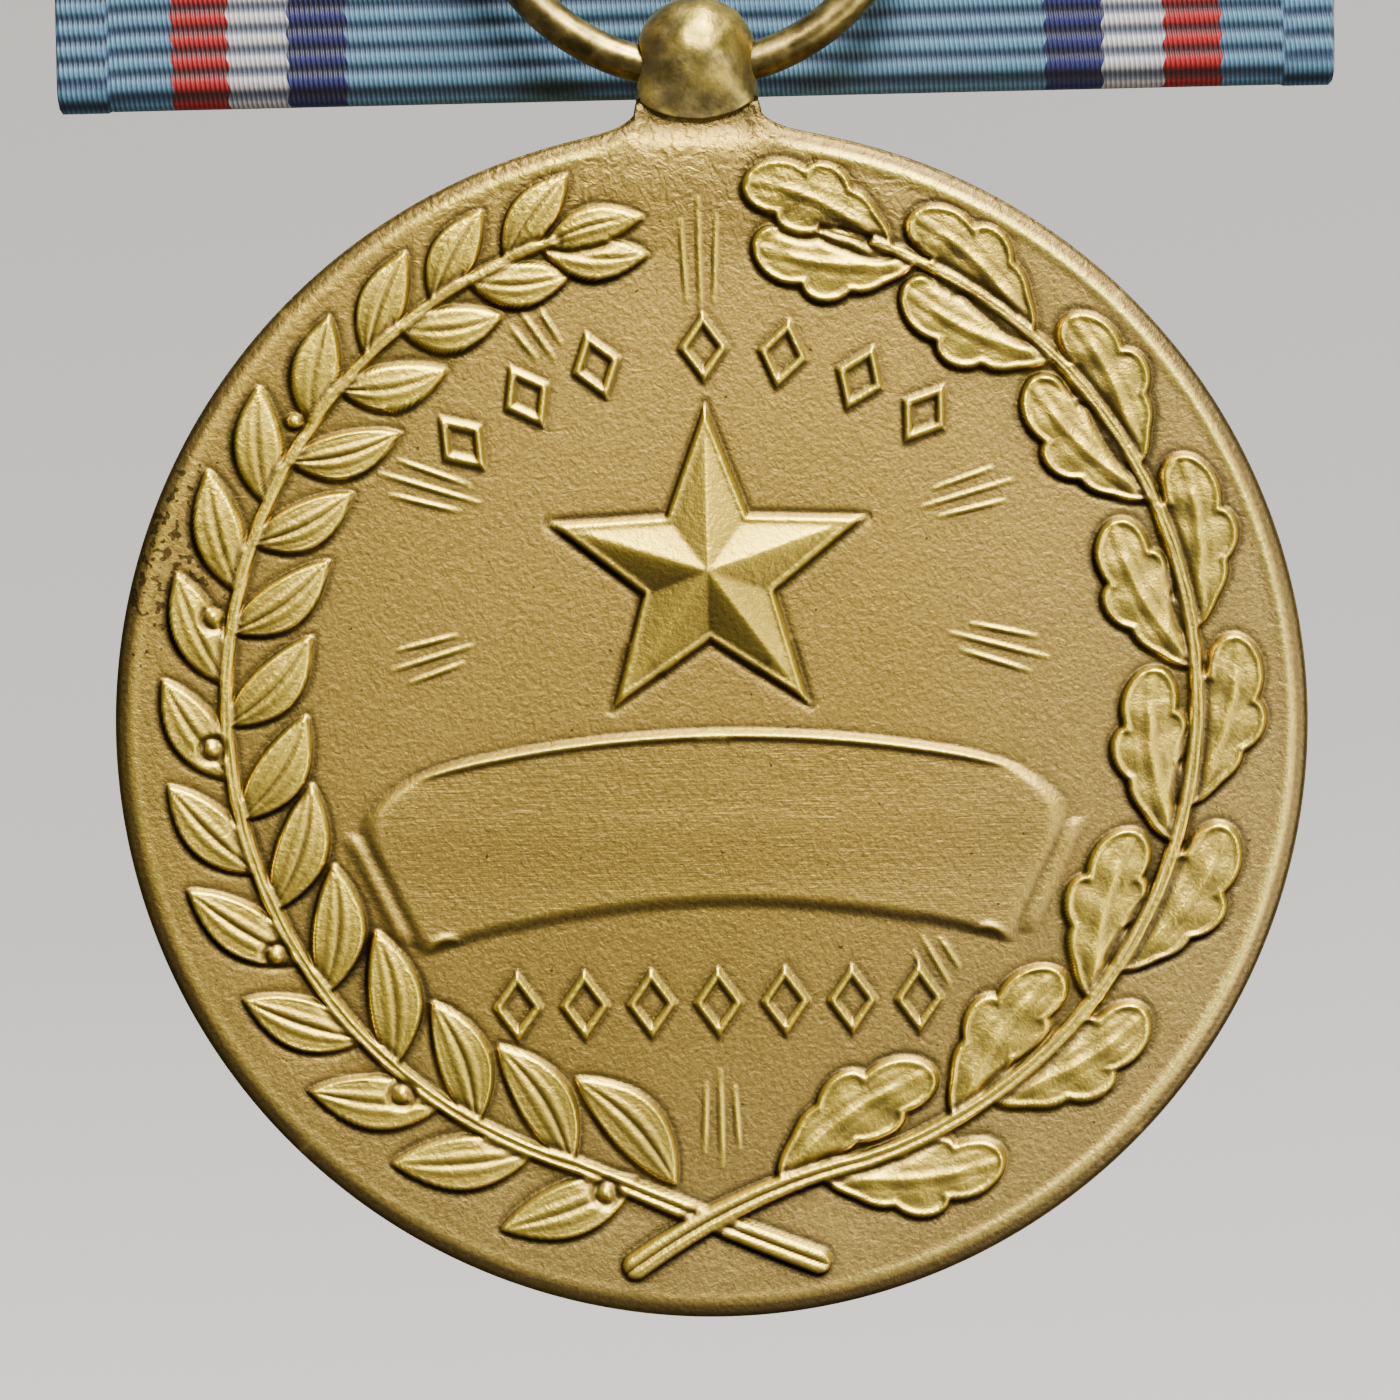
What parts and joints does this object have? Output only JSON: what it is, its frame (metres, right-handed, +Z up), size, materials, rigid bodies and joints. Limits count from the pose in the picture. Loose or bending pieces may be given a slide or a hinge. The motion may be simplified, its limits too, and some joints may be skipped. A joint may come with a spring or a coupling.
{
  "type": "service medal",
  "caption": "Round bronze medallion with a star and wreath, on a ring and folded striped ribbon, hanging from a pin-back brooch bar.",
  "frame": {"origin": "middle of the brooch pin's axis", "axes": "+Z up, +X along the brooch pin towards its hinge; the brooch pin and the struck reverse face -Y, the ribbon's front and the obverse face +Y"},
  "size_m": [0.0368, 0.0057, 0.0679],
  "materials": {
    "struck_bronze": "struck bronze, matte field with worn high points",
    "lug_bronze": "dark patina, worn through to bright metal",
    "ring_brass": "polished by wear",
    "brooch_brass": "stamped sheet, satin",
    "pin_steel": "drawn wire",
    "ribbon": "ribbed grosgrain, light blue with red, white and blue stripes",
    "thread": "sewing thread"
  },
  "bodies": {
    "brooch": {"back_plate": "brooch_brass", "core_bar": "brooch_brass", "hinge_bracket": "brooch_brass", "hinge_rivet": "brooch_brass", "catch_post": "brooch_brass", "ribbon_head": "ribbon"},
    "pin": {"brooch_pin": "pin_steel"},
    "lock": {"catch_sleeve": "brooch_brass"},
    "drape": {"ribbon_drape": "ribbon", "loop_tab": "ribbon", "loop_stitches": "thread"},
    "loop": {"ribbon_loop": "ribbon"},
    "ring": {"suspension_ring": "ring_brass"},
    "medallion": {"medallion": "struck_bronze", "suspension_lug": "lug_bronze", "lug_solder": "lug_bronze"}
  },
  "joints": [
    {"name": "pin_hinge", "type": "hinge", "parent": "brooch", "child": "pin", "pos_m": [0.0146, 0, 0], "axis": [0, 0, 1], "range_deg": [0, 75]},
    {"name": "catch_turn", "type": "hinge", "parent": "brooch", "child": "lock", "pos_m": [-0.0146, 0, 0], "axis": [1, 0, 0], "range_deg": [-80, 0]},
    {"name": "drape_flex", "type": "hinge", "parent": "brooch", "child": "drape", "pos_m": [0, 0.0027, -0.0043], "axis": [1, 0, 0], "range_deg": [-25, 25]},
    {"name": "loop_swing", "type": "hinge", "parent": "drape", "child": "loop", "pos_m": [0, 0.00145, -0.01355], "axis": [1, 0, 0], "range_deg": [-60, 0]},
    {"name": "ring_slip", "type": "hinge", "parent": "loop", "child": "ring", "pos_m": [0, 0, -0.02471], "axis": [0, 1, 0], "range_deg": [-20, 20]},
    {"name": "medal_swing", "type": "hinge", "parent": "ring", "child": "medallion", "pos_m": [0, 0, -0.03043], "axis": [1, 0, 0], "range_deg": [-110, 6]}
  ]
}
